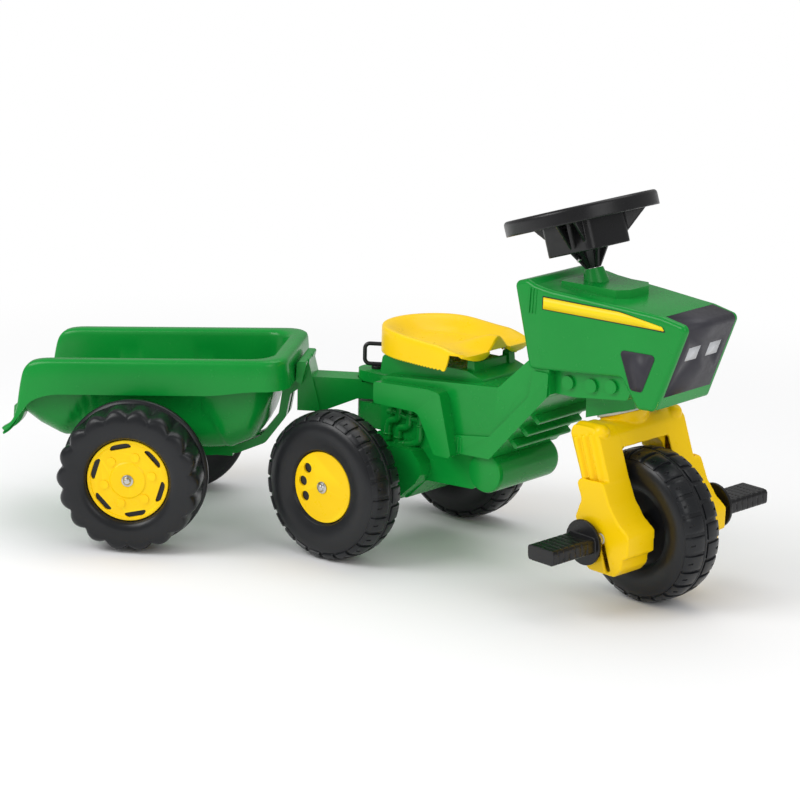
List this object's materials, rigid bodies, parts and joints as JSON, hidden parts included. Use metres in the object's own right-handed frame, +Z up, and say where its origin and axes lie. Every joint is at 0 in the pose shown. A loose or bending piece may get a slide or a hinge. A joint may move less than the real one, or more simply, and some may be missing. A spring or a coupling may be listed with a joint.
{
  "type": "pedal tractor with trailer",
  "caption": "Child's pedal tractor with a bonnet, dished seat, pedals on the front wheel and a hitched tipping trailer.",
  "frame": {"origin": "middle of the underside of the box round the whole toy, on the ground", "axes": "+X towards the tractor's nose, +Y to the rider's left, +Z up"},
  "size_m": [1.0404, 0.5432, 0.5256],
  "materials": {
    "green_plastic": "glossy",
    "yellow_plastic": "satin",
    "black_plastic": "satin",
    "tyre_plastic": "satin",
    "dark_grey_print": "satin",
    "lamp_print": "gloss",
    "yellow_print": "gloss",
    "steel": "plain",
    "black_steel": "satin",
    "bush_nylon": "plain"
  },
  "bodies": {
    "tractor": {"body_shell": "green_plastic", "bonnet": "green_plastic", "grille_panel": "dark_grey_print", "headlamp_panels": "lamp_print", "bonnet_stripes": "yellow_print", "side_vent_panels": "dark_grey_print", "column_boot": "green_plastic", "bonnet_screws": "steel", "lower_steering_bush": "bush_nylon", "upper_steering_bush": "bush_nylon", "rear_axle": "steel", "rear_axle_bushes": "bush_nylon", "rear_axle_spacers": "black_plastic", "rear_push_nuts": "steel"},
    "seat": {"seat": "yellow_plastic"},
    "steering": {"fork": "yellow_plastic", "fork_axle_bushes": "bush_nylon", "steering_column": "steel", "column_sleeve": "black_plastic", "stem_screw": "steel", "steering_wheel": "black_plastic", "wheel_centre_cap": "black_plastic"},
    "front_wheel": {"front_tyre": "tyre_plastic", "front_hub": "black_plastic", "crank_axle": "steel"},
    "left_pedal": {"left_pedal": "black_plastic"},
    "right_pedal": {"right_pedal": "black_plastic"},
    "rear_left_wheel": {"rear_left_tyre": "tyre_plastic", "rear_left_disc": "yellow_plastic"},
    "rear_right_wheel": {"rear_right_tyre": "tyre_plastic", "rear_right_disc": "yellow_plastic"},
    "hitch_pin": {"hitch_pin": "black_steel"},
    "trailer_frame": {"drawbar": "green_plastic", "trailer_axle": "steel", "trailer_axle_bushes": "bush_nylon", "trailer_push_nuts": "steel"},
    "tub": {"tub": "green_plastic", "tub_hinge_ears": "green_plastic"},
    "trailer_left_wheel": {"trailer_left_tyre": "tyre_plastic", "trailer_left_rim": "yellow_plastic"},
    "trailer_right_wheel": {"trailer_right_tyre": "tyre_plastic", "trailer_right_rim": "yellow_plastic"}
  },
  "joints": [
    {"name": "steering", "type": "hinge", "parent": "tractor", "child": "steering", "pos_m": [0.37283, 0.09891, 0.243], "axis": [-0.309, 0, 0.9511], "range_deg": [-31, 49]},
    {"name": "front_wheel_spin", "type": "hinge", "parent": "steering", "child": "front_wheel", "pos_m": [0.41929, 0.09891, 0.1], "axis": [0.1488, 0.9877, 0.0483], "continuous": true},
    {"name": "left_pedal_spin", "type": "hinge", "parent": "front_wheel", "child": "left_pedal", "pos_m": [0.43977, 0.09547, 0.10726], "axis": [0.1488, 0.9877, 0.0483], "continuous": true},
    {"name": "right_pedal_spin", "type": "hinge", "parent": "front_wheel", "child": "right_pedal", "pos_m": [0.3988, 0.10235, 0.09274], "axis": [0.1488, 0.9877, 0.0483], "continuous": true},
    {"name": "rear_left_spin", "type": "hinge", "parent": "tractor", "child": "rear_left_wheel", "pos_m": [0.00528, 0.09891, 0.1], "axis": [0, 1, 0], "continuous": true},
    {"name": "rear_right_spin", "type": "hinge", "parent": "tractor", "child": "rear_right_wheel", "pos_m": [0.00528, 0.09891, 0.1], "axis": [0, 1, 0], "continuous": true},
    {"name": "seat_slide", "type": "slide", "parent": "tractor", "child": "seat", "axis": [1, 0, 0], "range_m": [0, 0.018]},
    {"name": "hitch_pin_pull", "type": "slide", "parent": "tractor", "child": "hitch_pin", "axis": [0, 0, 1], "range_m": [0, 0.085]},
    {"name": "trailer_yaw", "type": "hinge", "parent": "tractor", "child": "trailer_frame", "pos_m": [-0.03871, 0.09891, 0.2], "axis": [0, 0, 1], "range_deg": [-71.5, 8.5]},
    {"name": "tub_tip", "type": "hinge", "parent": "trailer_frame", "child": "tub", "pos_m": [-0.29877, -0.06045, 0.1], "axis": [0.5225, -0.8526, 0], "range_deg": [0, 40]},
    {"name": "trailer_left_spin", "type": "hinge", "parent": "trailer_frame", "child": "trailer_left_wheel", "pos_m": [-0.29877, -0.06045, 0.1], "axis": [-0.5225, 0.8526, 0], "continuous": true},
    {"name": "trailer_right_spin", "type": "hinge", "parent": "trailer_frame", "child": "trailer_right_wheel", "pos_m": [-0.29877, -0.06045, 0.1], "axis": [-0.5225, 0.8526, 0], "continuous": true}
  ]
}
